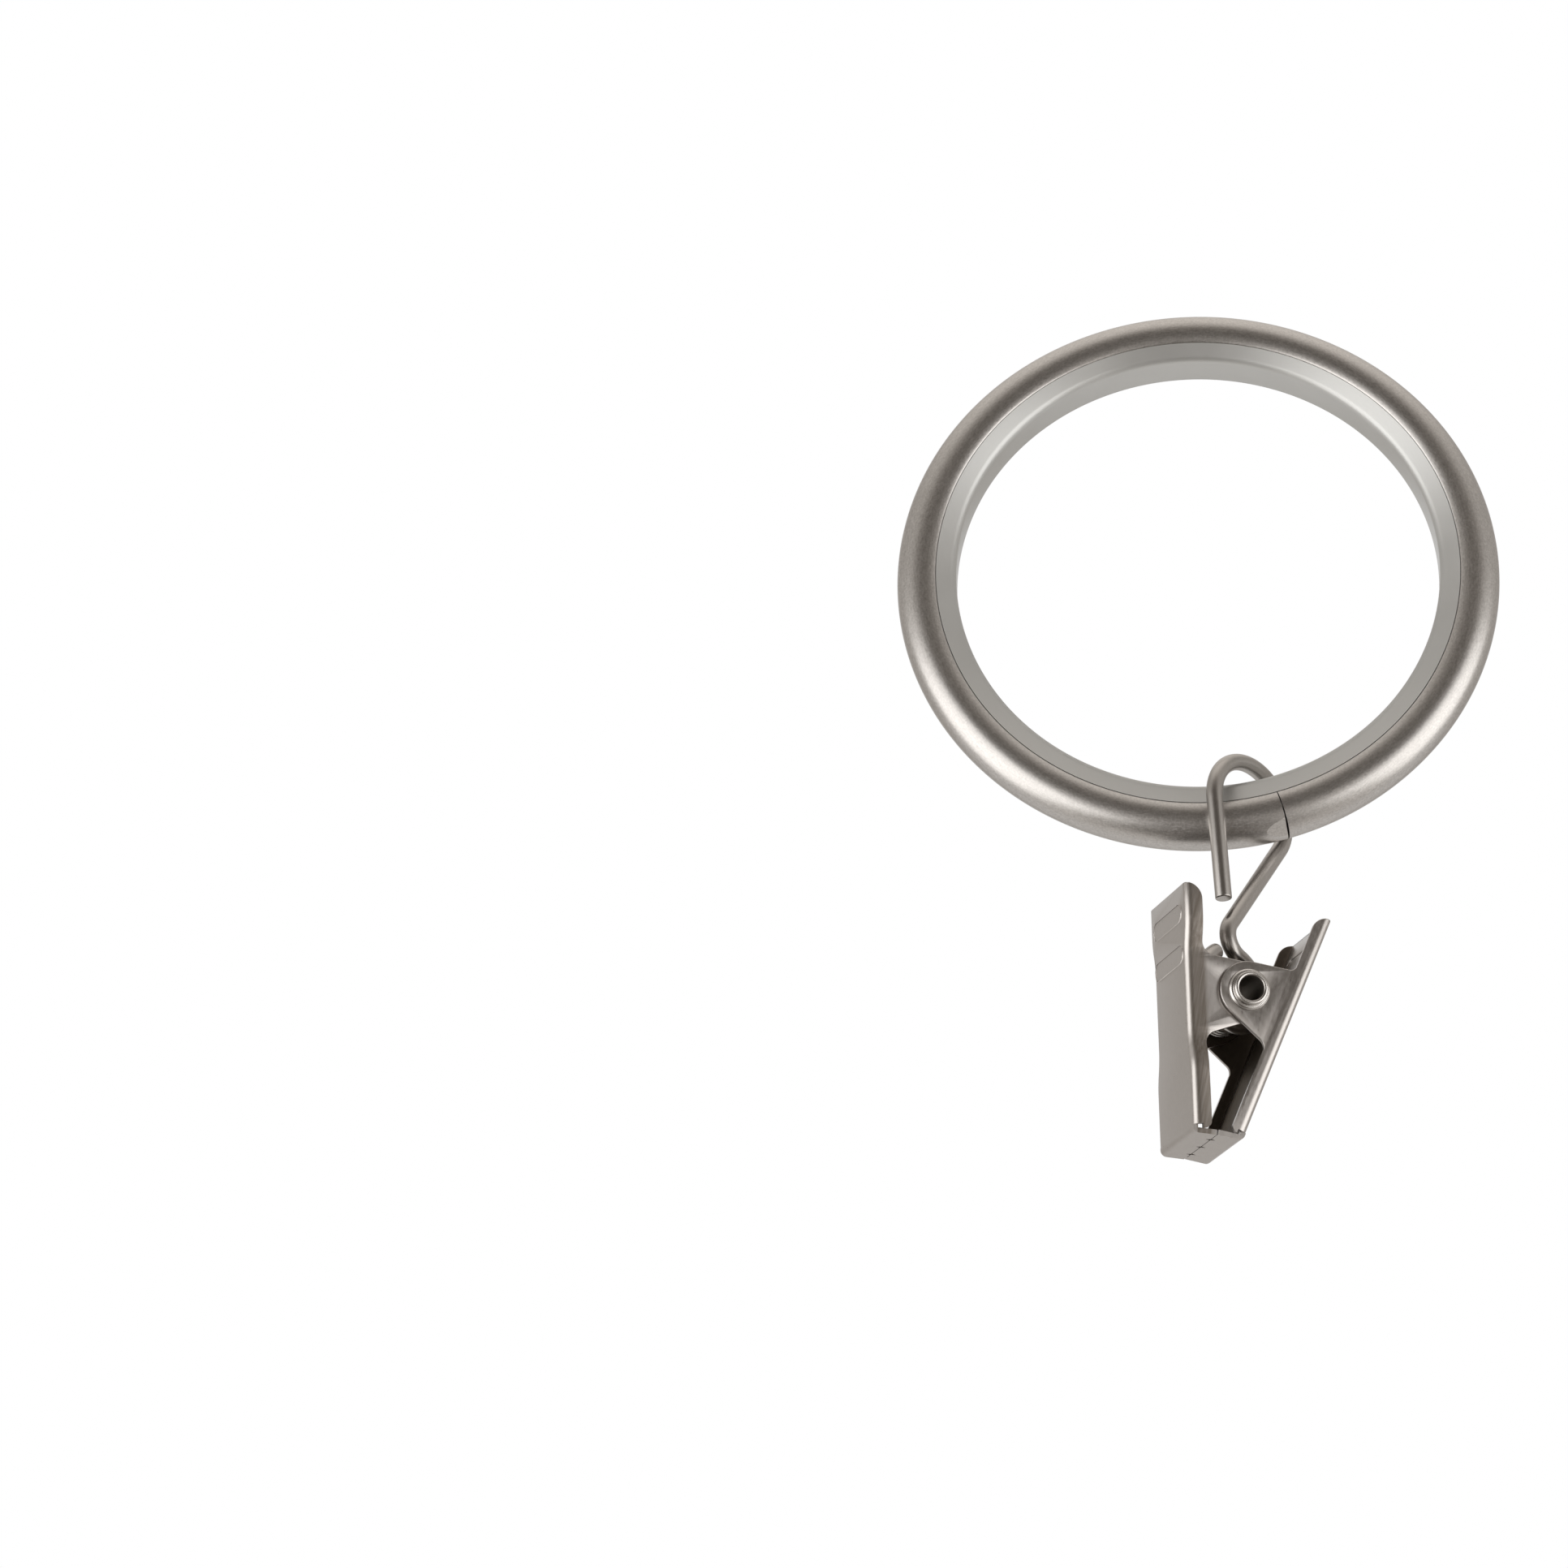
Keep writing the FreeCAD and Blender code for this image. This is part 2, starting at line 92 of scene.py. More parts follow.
# %% Tree helpers
def new_tree(name, inputs):
    tree = bpy.data.node_groups.new(name, "GeometryNodeTree")
    tree.interface.new_socket("Geometry", in_out="INPUT", socket_type="NodeSocketGeometry")
    for label, kind in inputs:
        tree.interface.new_socket(label, in_out="INPUT", socket_type="NodeSocket" + kind)
    tree.interface.new_socket("Geometry", in_out="OUTPUT", socket_type="NodeSocketGeometry")
    return tree, tree.nodes.new("NodeGroupInput"), tree.nodes.new("NodeGroupOutput")


def add(tree, kind, links=(), **settings):
    node = tree.nodes.new(kind)
    for key, value in settings.items():
        setattr(node, key, value)
    for socket, source in links:
        if isinstance(source, bpy.types.NodeSocket):
            tree.links.new(source, node.inputs[socket])
        else:
            node.inputs[socket].default_value = source
    return node


def maths(tree, operation, *values):
    return add(tree, "ShaderNodeMath", enumerate(values), operation=operation).outputs[0]


def finish_tree(tree, start, end, mesh):
    shaded = add(tree, "GeometryNodeSetShadeSmooth", [("Geometry", mesh), ("Shade Smooth", True)])
    real = add(tree, "GeometryNodeRealizeInstances", [("Geometry", shaded.outputs[0])])
    coated = add(tree, "GeometryNodeSetMaterial", [("Geometry", real.outputs[0]),
                                                   ("Material", start.outputs["Material"])])
    tree.links.new(coated.outputs[0], end.inputs["Geometry"])


print("tree helpers ready, Blender", bpy.app.version_string)

# %% [markdown]
# ## Running a tree on a line
# A modifier holds the tree on an object. Running it means drawing the line, setting the inputs by
# their identifiers, asking Blender for the result and keeping that result as a plain mesh, which is
# then moved to its place.

# %% Run a tree
def run_tree(name, tree, points, closed, values, matrix, crease=35.0):
    edges = [(i, i + 1) for i in range(len(points) - 1)]
    if closed:
        edges.append((len(points) - 1, 0))
    line = bpy.data.meshes.new(name + "_line")
    line.from_pydata(points, edges, [])
    piece = bpy.data.objects.new(name, line)
    bpy.context.scene.collection.objects.link(piece)
    modifier = piece.modifiers.new("shape", "NODES")
    modifier.node_group = tree
    for item in tree.interface.items_tree:
        if item.in_out == "INPUT" and item.name in values:
            modifier[item.identifier] = values[item.name]
    bpy.context.view_layer.update()
    ready = piece.evaluated_get(bpy.context.evaluated_depsgraph_get())
    mesh = bpy.data.meshes.new_from_object(ready)
    piece.modifiers.remove(modifier)
    piece.data = mesh
    mesh.name = name
    mesh.transform(matrix)
    mesh.set_sharp_from_angle(angle=math.radians(crease))
    bpy.data.meshes.remove(line)
    print(name, "faces", len(mesh.polygons))
    return piece


print("a tree can now be run on a line")

# %% [markdown]
# ## Small helpers for finishes
# A finish is a tree of nodes too. A few short functions keep it readable: mixing two colours,
# stretching a value from one range to another, a little vector arithmetic and a noise pattern.

# %% Shader helpers
def new_material(name):
    material = bpy.data.materials.new(name)
    material.use_nodes = True
    nodes = material.node_tree
    nodes.nodes.clear()
    return material, nodes


def colour_mix(tree, share, first, second):
    # A Mix node has one set of sockets per kind of data, so the colour ones are found by their own names.
    node = add(tree, "ShaderNodeMix", [(0, share)], data_type="RGBA")
    for name, value in (("A_Color", first), ("B_Color", second)):
        socket = next(s for s in node.inputs if s.identifier == name)
        if isinstance(value, bpy.types.NodeSocket):
            tree.links.new(value, socket)
        else:
            socket.default_value = value
    return next(s for s in node.outputs if s.identifier == "Result_Color")


def ramp(tree, value, low, high, to_low=0.0, to_high=1.0):
    node = add(tree, "ShaderNodeMapRange", [("Value", value), ("From Min", low), ("From Max", high),
                                            ("To Min", to_low), ("To Max", to_high)])
    return node.outputs[0]


def product(tree, first, *others):
    for other in others:
        first = maths(tree, "MULTIPLY", first, other)
    return first


def vectors(tree, operation, *values):
    # A vector node gives a vector, or a plain number where it measures.
    node = add(tree, "ShaderNodeVectorMath", enumerate(values), operation=operation)
    return node.outputs["Value" if operation in ("DOT_PRODUCT", "LENGTH") else "Vector"]


def noise(tree, vector, scale, detail, roughness=0.5):
    node = add(tree, "ShaderNodeTexNoise", [("Vector", vector), ("Scale", scale), ("Detail", detail),
                                            ("Roughness", roughness)])
    return node.outputs["Fac"]


print("helpers ready for finishes")

# %% [markdown]
# ## Satin nickel
# The ring, the wire and the clip are steel with a satin nickel plating: a warm grey metal whose
# reflections are soft. The plating follows the brushing underneath. One function makes the finish
# from fine lines and a cloudy grain, which both change the tone and the roughness a little. It
# can also paint shade in places, where a piece says so: a darker, rougher tone where shade falls.

# %% Metal finish
NOISE_LOW = 0.6
NOISE_HIGH = 1.4
LINE_DETAIL = 4.0
LINE_CONTRAST = 0.6
LINE_STRENGTH = 0.35
GRAIN_DETAIL = 3.0
GRAIN_CONTRAST = 0.55
# Painted shade: the dark tone, and the roughness added with it, where a piece's mask says shade falls.
PAINTED_SHADE_TONE = (0.200, 0.172, 0.145, 1)
PAINTED_SHADE_ROUGH = 0.25


def metal(name, tones, roughness, brush, grain_scale, line_depth, vector_of, painted_shade_of=None):
    material, tree = new_material(name)
    out = add(tree, "ShaderNodeOutputMaterial")
    where = add(tree, "ShaderNodeTexCoord").outputs["Object"]
    along, plain = vector_of(tree, where)
    lines = noise(tree, vectors(tree, "MULTIPLY", along, brush), 1.0, LINE_DETAIL, LINE_CONTRAST)
    cloud = noise(tree, plain, grain_scale, GRAIN_DETAIL, GRAIN_CONTRAST)
    blend = maths(tree, "ADD", lines, cloud)
    colour = colour_mix(tree, ramp(tree, blend, NOISE_LOW, NOISE_HIGH), *tones)
    rough = ramp(tree, blend, NOISE_LOW, NOISE_HIGH, *roughness)
    # Painted shade: where the mask says so, the colour is pulled towards the dark tone.
    if painted_shade_of:
        dull = painted_shade_of(tree, where)
        colour = colour_mix(tree, dull, colour, PAINTED_SHADE_TONE)
        rough = maths(tree, "MULTIPLY_ADD", dull, PAINTED_SHADE_ROUGH, rough)
    bump = add(tree, "ShaderNodeBump", [("Height", lines), ("Strength", LINE_STRENGTH),
                                        ("Distance", line_depth)])
    shader = add(tree, "ShaderNodeBsdfPrincipled", [("Base Color", colour), ("Roughness", rough),
                                                    ("Metallic", 1.0), ("Normal", bump.outputs[0])])
    tree.links.new(shader.outputs[0], out.inputs["Surface"])
    return material


print("dull tone", PAINTED_SHADE_TONE[:3])

# %% [markdown]
# ## Which way the brushing runs
# The fine lines run along the ring, along the wire and down the clip. A noise pattern becomes lines
# when its vector is stretched, so each piece hands over a vector that follows its own shape: the
# angle round the ring, or a point as the hook's or the clip's own place sees it.

# %% Brushing
SEAM_AT = math.radians(-74.1)


def round_the_ring(tree, where):
    # Angle round the ring, counted from the seam, then radius and depth: brushing follows the angle.
    turned = add(tree, "ShaderNodeMapping", [("Vector", where), ("Rotation", (0, SEAM_AT, 0))],
                 vector_type="TEXTURE")
    x, y, z = add(tree, "ShaderNodeSeparateXYZ", [(0, turned.outputs[0])]).outputs
    angle = maths(tree, "ARCTAN2", z, x)
    radius = maths(tree, "SQRT", maths(tree, "MULTIPLY_ADD", z, z, maths(tree, "MULTIPLY", x, x)))
    joined = add(tree, "ShaderNodeCombineXYZ", [("X", angle), ("Y", radius), ("Z", y)])
    return joined.outputs[0], where


def in_frame(matrix):
    def vector_of(tree, where):
        local = add(tree, "ShaderNodeMapping", [("Vector", where), ("Location", matrix.translation),
                                                ("Rotation", matrix.to_euler("XYZ"))], vector_type="TEXTURE")
        return local.outputs[0], local.outputs[0]
    return vector_of


print("the ring's lines start at the seam, in degrees", round(math.degrees(SEAM_AT), 1))

# %% [markdown]
# ## Where a point lies on the clip
# Some places on the clip are painted with shade, darker than the plating. No texture is needed for
# them: a place can be told from where a point lies on the clip and which way its surface looks. The
# clip hangs turned and leaned, so both are first brought into its own directions, with X along the
# rivet, Y towards the rear and Z up.

# %% On the clip
JAW_TILT = math.radians(12.13)


def jaw_outward(side):
    # The way that a jaw's broad face looks, on the clip. The front jaw's side is -1 and the rear one's 1.
    return Vector((0, side * math.cos(JAW_TILT), -math.sin(JAW_TILT)))


def on_the_clip(tree, where):
    # A point and its normal as the clip sees them, and how far the point lies outwards along the rivet.
    spot = in_frame(clip_place)(tree, where)[0]
    normal = add(tree, "ShaderNodeTexCoord").outputs["Normal"]
    facing = add(tree, "ShaderNodeMapping", [("Vector", normal), ("Rotation", clip_place.to_euler("XYZ"))],
                 vector_type="TEXTURE").outputs[0]
    outward = vectors(tree, "MULTIPLY", spot, facing)
    sideways = add(tree, "ShaderNodeSeparateXYZ", [(0, outward)]).outputs["X"]
    return spot, facing, sideways


print("front jaw looks", [round(v, 3) for v in jaw_outward(-1)], "on the clip")

# %% [markdown]
# ## Painted shade inside the jaws
# The faces that look into the clip get painted shade, for the shade inside it. The function gives a
# share from nothing to one, with soft limits, so the painted shade fades out below the handles.

# %% Painted shade inside the jaws
# Limits of the painted shade inside the jaws: which way a face looks, its height and how far out it lies.
LOOKS_IN = (-0.3, -0.7)
SHADE_TOP = (3.0 * MM, 1.5 * MM)
SHADE_SIDE = (4.0 * MM, 3.8 * MM)
SHADE_FLANGE = (-1.2 * MM, -2.4 * MM)


def inner_painted_shade(side):
    # Painted shade lies on the inner flanges, and on the inner broad face below the handles.
    def painted_shade_of(tree, where):
        spot, facing, sideways = on_the_clip(tree, where)
        split = add(tree, "ShaderNodeSeparateXYZ", [(0, spot)]).outputs
        turned = vectors(tree, "DOT_PRODUCT", facing, jaw_outward(side))
        face = product(tree, ramp(tree, turned, *LOOKS_IN), ramp(tree, split["Z"], *SHADE_TOP),
                       ramp(tree, maths(tree, "ABSOLUTE", split["X"]), *SHADE_SIDE))
        return maths(tree, "MAXIMUM", face, ramp(tree, sideways, *SHADE_FLANGE))
    return painted_shade_of


# These are the heights at which the painted shade inside the jaws fades out.
print("dark skin fades out at, in mm above the rivet", [round(v / MM, 1) for v in SHADE_TOP])

# %% [markdown]
# ## The painted band and the painted bore
# A streaked band of painted shade lies on the front jaw's flange, for the darker reflection of the
# flange there, and the rivet's bore is painted dark, for the shade inside it. The band is a noise
# pattern stretched down the clip and kept to a strip beside the fold. The bore is told by its
# distance from the rivet's axis.

# %% Band and bore
FRONT_DEPTH = 4.80 * MM
# The band of painted shade on the front flange: its streaks, its share and its place by the fold.
STREAK = (6000.0, 6000.0, 260.0)
STREAK_DETAIL = 3.0
SHADE_BAND_NOISE = (0.3, 0.7)
SHADE_BAND_SHARE = (0.65, 0.95)
BAND_FLANGE = (2.6 * MM, 3.6 * MM)
BAND_FOLD = 0.2 * MM
BAND_START = 0.4 * MM
BAND_END = 1.75 * MM
BAND_FADE = 0.35 * MM
# How far the painted shade in the rivet's bore reaches, and how dark it gets.
BORE_RIM = (1.04 * MM, 0.96 * MM)
BORE_SHADE = 0.8


def painted_flange_shade(tree, where):
    # A darker, streaked band of painted shade by the fold of the front jaw's flange, for its darker
    # reflection.
    spot, _, sideways = on_the_clip(tree, where)
    depth = vectors(tree, "DOT_PRODUCT", spot, jaw_outward(-1))
    streak = noise(tree, vectors(tree, "MULTIPLY", spot, STREAK), 1.0, STREAK_DETAIL)
    band_end = FRONT_DEPTH - BAND_END
    band = product(tree, ramp(tree, streak, *SHADE_BAND_NOISE, *SHADE_BAND_SHARE), ramp(tree, sideways, *BAND_FLANGE),
                   ramp(tree, depth, band_end, band_end + BAND_FADE),
                   ramp(tree, depth, FRONT_DEPTH - BAND_FOLD, FRONT_DEPTH - BAND_START))
    return maths(tree, "MAXIMUM", band, inner_painted_shade(-1)(tree, where))


# The rivet's bore is painted dark towards its axis, as shade inside the hole.
def painted_bore_shade(tree, where):
    spot = in_frame(clip_place)(tree, where)[0]
    radius = vectors(tree, "LENGTH", vectors(tree, "MULTIPLY", spot, (0, 1, 1)))
    return ramp(tree, radius, *BORE_RIM, 0.0, BORE_SHADE)


print("band width in mm", round((BAND_END - BAND_START) / MM, 2))

# %% [markdown]
# ## The metals
# With the helpers in place each metal is one call: its two tones, its roughness, how far its lines
# are stretched, the size of its grain and the depth of its lines. The wire and the rivet are
# smoother than the sheet, because drawing and rolling press their surface flat.

# %% Metals
RING_TONES = ((0.45, 0.435, 0.42, 1), (0.71, 0.69, 0.67, 1))
WIRE_TONES = ((0.48, 0.46, 0.44, 1), (0.53, 0.51, 0.49, 1))
CLIP_TONES = ((0.52, 0.495, 0.475, 1), (0.60, 0.575, 0.555, 1))
RIVET_TONES = ((0.58, 0.56, 0.54, 1), (0.64, 0.62, 0.60, 1))
SPRING_TONES = ((0.40, 0.38, 0.36, 1), (0.55, 0.53, 0.51, 1))


def clip_metal(name, painted_shade_of):
    return metal(name, CLIP_TONES, roughness=(0.26, 0.38), brush=(8000.0, 8000.0, 400.0), grain_scale=3000.0,
                 line_depth=0.004 * MM, vector_of=in_frame(clip_place), painted_shade_of=painted_shade_of)


ring_metal = metal("satin_nickel_ring", RING_TONES, roughness=(0.30, 0.40), brush=(60.0, 14000.0, 14000.0),
                   grain_scale=6000.0, line_depth=0.004 * MM, vector_of=round_the_ring)
wire_metal = metal("satin_nickel_wire", WIRE_TONES, roughness=(0.27, 0.31), brush=(9000.0, 9000.0, 500.0),
                   grain_scale=5000.0, line_depth=0.0008 * MM, vector_of=in_frame(hook_place))
# The jaws' and the rivet's finishes carry painted shade from the masks above.
front_metal = clip_metal("satin_nickel_front_jaw", painted_flange_shade)
rear_metal = clip_metal("satin_nickel_rear_jaw", inner_painted_shade(1))
rivet_metal = metal("bright_rolled_steel", RIVET_TONES, roughness=(0.24, 0.28),
                    brush=(700.0, 5000.0, 5000.0), grain_scale=900.0, line_depth=0.00005 * MM,
                    vector_of=in_frame(clip_place), painted_shade_of=painted_bore_shade)
spring_metal = metal("spring_steel", SPRING_TONES, roughness=(0.22, 0.34), brush=(3000.0, 3000.0, 3000.0),
                     grain_scale=900.0, line_depth=0.003 * MM, vector_of=in_frame(clip_place))
print("metal finishes", [m.name for m in bpy.data.materials])

# %% [markdown]
# ## The plastic liner's finish
# The liner is a milky, half-clear strip that keeps the metal from rasping on the rod. It has a
# pearly sheen, which a share of metal in the shader gives, and a little light passes through it.
# The real liner's side seems to lean towards the rod. Only the shading normal takes that lean, so
# the side catches the light in a similar way while its outline stays that of the solid.

# %% Liner finish
LINER_TONES = ((0.58, 0.585, 0.575, 1), (0.66, 0.665, 0.655, 1))
LINER_ROUGH = (0.34, 0.44)
MILK_SCALE = 260.0
MILK_DETAIL = 3.0
PEARL = 0.72
CROWN = 0.50
CLEARNESS = 0.15
LINER_IOR = 1.49


def milky(name):
    material, tree = new_material(name)
    out = add(tree, "ShaderNodeOutputMaterial")
    where = add(tree, "ShaderNodeTexCoord").outputs["Object"]
    cloud = noise(tree, where, MILK_SCALE, MILK_DETAIL)
    # The lean is largest where the surface faces along the ring's axis, and nothing on the bore.
    normal = add(tree, "ShaderNodeTexCoord").outputs["Normal"]
    side = maths(tree, "ABSOLUTE", vectors(tree, "DOT_PRODUCT", normal, (0, 1, 0)))
    inward = vectors(tree, "NORMALIZE", vectors(tree, "MULTIPLY", where, (-1, 0, -1)))
    lean = add(tree, "ShaderNodeVectorMath", [(0, inward), ("Scale", maths(tree, "MULTIPLY", side, CROWN))],
               operation="SCALE").outputs[0]
    crowned = vectors(tree, "NORMALIZE", vectors(tree, "ADD", normal, lean))
    shader = add(tree, "ShaderNodeBsdfPrincipled", [("Base Color", colour_mix(tree, cloud, *LINER_TONES)),
                                                    ("Roughness", ramp(tree, cloud, 0.0, 1.0, *LINER_ROUGH)),
                                                    ("Metallic", PEARL), ("Transmission Weight", CLEARNESS),
                                                    ("IOR", LINER_IOR), ("Normal", crowned)])
    tree.links.new(shader.outputs[0], out.inputs["Surface"])
    return material


liner_plastic = milky("milky_plastic")
print("made", liner_plastic.name)

# %% [markdown]
# ## The swept section
# The channel, the liner and the rivet are all a section carried round a circle. A section is drawn
# as a closed line, with X away from the axis and Y along it. The tree turns the line into a curve
# and carries it round, either the whole way or with a gap where the ring's strip meets itself.

# %% Tree for a section carried round
def section_tree():
    tree, start, end = new_tree("section_carried_round", [("Radius", "Float"), ("Steps", "Int"),
                                                          ("Whole", "Bool"), ("From", "Float"),
                                                          ("Sweep", "Float"), ("Material", "Material")])
    section = add(tree, "GeometryNodeMeshToCurve", [("Mesh", start.outputs["Geometry"])])
    circle = add(tree, "GeometryNodeCurvePrimitiveCircle", [("Resolution", start.outputs["Steps"]),
                                                            ("Radius", start.outputs["Radius"])])
    arc = add(tree, "GeometryNodeCurveArc", [("Resolution", start.outputs["Steps"]),
                                             ("Radius", start.outputs["Radius"]),
                                             ("Start Angle", start.outputs["From"]),
                                             ("Sweep Angle", start.outputs["Sweep"])], mode="RADIUS")
    path = add(tree, "GeometryNodeSwitch", input_type="GEOMETRY")
    tree.links.new(start.outputs["Whole"], path.inputs["Switch"])
    tree.links.new(arc.outputs[0], path.inputs["False"])
    tree.links.new(circle.outputs[0], path.inputs["True"])
    body = add(tree, "GeometryNodeCurveToMesh", [("Curve", path.outputs[0]),
                                                 ("Profile Curve", section.outputs[0]), ("Fill Caps", True)])
    upright = add(tree, "GeometryNodeTransform", [("Geometry", body.outputs[0]),
                                                  ("Rotation", (math.pi / 2, 0, 0))])
    finish_tree(tree, start, end, upright.outputs[0])
    return tree


def arc_points(cx, cy, r, a0, a1, steps):
    angles = [a0 + (a1 - a0) * i / steps for i in range(steps + 1)]
    return [(cx + r * math.cos(a), cy + r * math.sin(a), 0) for a in angles]


carried_round = section_tree()
print("tree", carried_round.name, "nodes", len(carried_round.nodes))

# %% [markdown]
# ## The ring: a rolled channel
# The ring is a thin strip rolled into a tube that is open towards the rod, then bent into a circle
# whose ends meet in a seam beside the hook. The section is a thick arc with rounded edges, and the
# path stops short of a full circle by the seam's gap.

# %% Ring channel
SHEET = 0.35 * MM
MOUTH = math.radians(118.0)
SEAM_GAP = 0.09 * MM
OUTER_STEPS = 72
INNER_STEPS = 40
LIP_STEPS = 8
RING_STEPS = 361

inner_wall = TUBE - SHEET
middle_wall = TUBE - SHEET / 2
lip_x, lip_y = middle_wall * math.cos(MOUTH), middle_wall * math.sin(MOUTH)
outline = arc_points(0, 0, TUBE, -MOUTH, MOUTH, OUTER_STEPS)
outline += arc_points(lip_x, lip_y, SHEET / 2, MOUTH, MOUTH + math.pi, LIP_STEPS)[1:-1]
outline += arc_points(0, 0, inner_wall, MOUTH, -MOUTH, INNER_STEPS)
outline += arc_points(lip_x, -lip_y, SHEET / 2, math.pi - MOUTH, 2 * math.pi - MOUTH, LIP_STEPS)[1:-1]
half_gap = SEAM_GAP / 2 / RING_MIDDLE
ring = run_tree("ring_channel_satin", carried_round, outline, True,
                {"Radius": RING_MIDDLE, "Steps": RING_STEPS, "Whole": False, "From": SEAM_AT + half_gap,
                 "Sweep": 2 * math.pi - 2 * half_gap, "Material": ring_metal}, Matrix.Identity(4))

# %% [markdown]
# ## The pressed end of the strip
# The strip's end before the seam is pressed flat. One cut with a plane shows that well, because the
# flat stays crisp: the faces near the seam are cut, what lies outside is taken away, and the open
# rim is filled with one flat face.

# %% Pressed end
FLAT_ROUND = math.radians(28.0)
FLAT_DEPTH = 0.2 * MM
FLAT_TILT = math.radians(5.0)
FLAT_RUN = 3.0 * MM
SAME_POINT = 1e-8


def press_flat(piece):
    seam_out = Vector((math.cos(SEAM_AT), 0, math.sin(SEAM_AT)))
    seam_on = Vector((-math.sin(SEAM_AT), 0, math.cos(SEAM_AT)))
    facing = seam_out * math.cos(FLAT_ROUND) + Vector((0, -math.sin(FLAT_ROUND), 0))
    normal = facing * math.cos(FLAT_TILT) + seam_on * math.sin(FLAT_TILT)
    point = seam_out * RING_MIDDLE + facing * (TUBE - FLAT_DEPTH)
    shape = bmesh.new()
    shape.from_mesh(piece.data)
    near = [f for f in shape.faces if (f.calc_center_median() - point).length < FLAT_RUN
            and (f.calc_center_median() - point).dot(seam_on) < 0]
    # A dict keeps its keys in order, so the cut comes out the same on each run.
    edges = dict.fromkeys(e for f in near for e in f.edges)
    verts = dict.fromkeys(v for f in near for v in f.verts)
    cut = bmesh.ops.bisect_plane(shape, geom=[*near, *edges, *verts], plane_co=point, plane_no=normal,
                                 clear_outer=True, dist=SAME_POINT)
    cut_edges = [e for e in cut["geom_cut"] if isinstance(e, bmesh.types.BMEdge)]
    open_rim = [e for e in shape.edges if len(e.link_faces) == 1]
    flats = bmesh.ops.contextual_create(shape, geom=open_rim)["faces"]
    for f in flats:
        f.smooth = False
        for e in f.edges:
            e.smooth = False
    bmesh.ops.recalc_face_normals(shape, faces=shape.faces)
    shape.to_mesh(piece.data)
    shape.free()
    print("pressed end: cut edges", len(cut_edges), "new faces", len(flats))


press_flat(ring)

# %% [markdown]
# ## The liner
# The liner's bead snaps behind the channel's lips and its broad face rides on the rod. Its section
# has sharp inside corners and rounded outside ones, so it is drawn point by point from the
# channel's own sizes and carried round the whole circle.

# %% Liner
HALF_WIDTH = 1.7 * MM
LINER_CORNER = 0.5 * MM
LINER_GAP = 0.04 * MM
LINER_BACK = 0.25 * MM
LIP_CLEAR = 0.01 * MM
CORNER_STEPS = 8
BEAD_STEPS = 14
LINER_STEPS = 300

bead = inner_wall - LINER_GAP
neck = inner_wall * math.sin(MOUTH) - LINER_GAP
shoulder = lip_x - SHEET / 2 - LIP_CLEAR
brim = TUBE * math.sin(MOUTH) - LINER_GAP
enter = math.acos(-math.sqrt(bead ** 2 - neck ** 2) / bead)
leave = math.acos(LINER_BACK / bead)
corner_x = RING_BORE - RING_MIDDLE + LINER_CORNER
lower = arc_points(corner_x, LINER_CORNER - HALF_WIDTH, LINER_CORNER, math.pi, 1.5 * math.pi, CORNER_STEPS)
lower += [(shoulder, -brim, 0), (shoulder, -neck, 0)]
lower += arc_points(0, 0, bead, -enter, -leave, BEAD_STEPS)
liner_line = lower + [(x, -y, z) for x, y, z in reversed(lower)]
liner = run_tree("ring_liner_milky", carried_round, liner_line, True,
                 {"Radius": RING_MIDDLE, "Steps": LINER_STEPS, "Whole": True, "Material": liner_plastic},
                 Matrix.Identity(4))

# %% [markdown]
# ## Bent wire
# The hook and the spring are round wire along a path. The path is drawn as a line of straight runs
# and arcs, and the tree carries a circle along it. Near each end the circle shrinks by a quarter
# round, which gives the small bright rim of a cut and tumbled wire.

# %% Tree for bent wire
ROUND_STEPS = 6


def wire_tree():
    tree, start, end = new_tree("bent_wire", [("Wire", "Float"), ("Sides", "Int"), ("End round", "Float"),
                                              ("Material", "Material")])
    end_round = start.outputs["End round"]
    path = add(tree, "GeometryNodeMeshToCurve", [("Mesh", start.outputs["Geometry"])])
    done = add(tree, "GeometryNodeSplineParameter").outputs["Length"]
    whole = add(tree, "GeometryNodeSplineLength").outputs["Length"]
    radius = maths(tree, "MULTIPLY", start.outputs["Wire"], 0.5)
    left = maths(tree, "MINIMUM", done, maths(tree, "SUBTRACT", whole, done))
    share = maths(tree, "MINIMUM", maths(tree, "DIVIDE", left, end_round), 1.0)
    short = maths(tree, "SUBTRACT", 1.0, share)
    height = maths(tree, "SQRT", maths(tree, "SUBTRACT", 1.0, maths(tree, "MULTIPLY", short, short)))
    loss = maths(tree, "MULTIPLY", maths(tree, "SUBTRACT", 1.0, height),
                 maths(tree, "DIVIDE", end_round, radius))
    circle = add(tree, "GeometryNodeCurvePrimitiveCircle", [("Resolution", start.outputs["Sides"]),
                                                            ("Radius", radius)])
    body = add(tree, "GeometryNodeCurveToMesh", [("Curve", path.outputs[0]),
                                                 ("Profile Curve", circle.outputs[0]),
                                                 ("Scale", maths(tree, "SUBTRACT", 1.0, loss)),
                                                 ("Fill Caps", True)])
    finish_tree(tree, start, end, body.outputs[0])
    return tree


def with_round_ends(points, reach):
    # Extra points close to both ends, where the wire's end is rounded.
    def lead(a, b):
        go = (Vector(b) - Vector(a)).normalized() * reach
        turns = [math.pi / 2 * k / ROUND_STEPS for k in range(1, ROUND_STEPS + 1)]
        return [tuple(Vector(a) + go * (1 - math.cos(turn))) for turn in turns]

    first, last = lead(points[0], points[1]), lead(points[-1], points[-2])
    return points[:1] + first + points[1:-1] + last[::-1] + points[-1:]


bent_wire = wire_tree()
print("tree", bent_wire.name, "nodes", len(bent_wire.nodes))

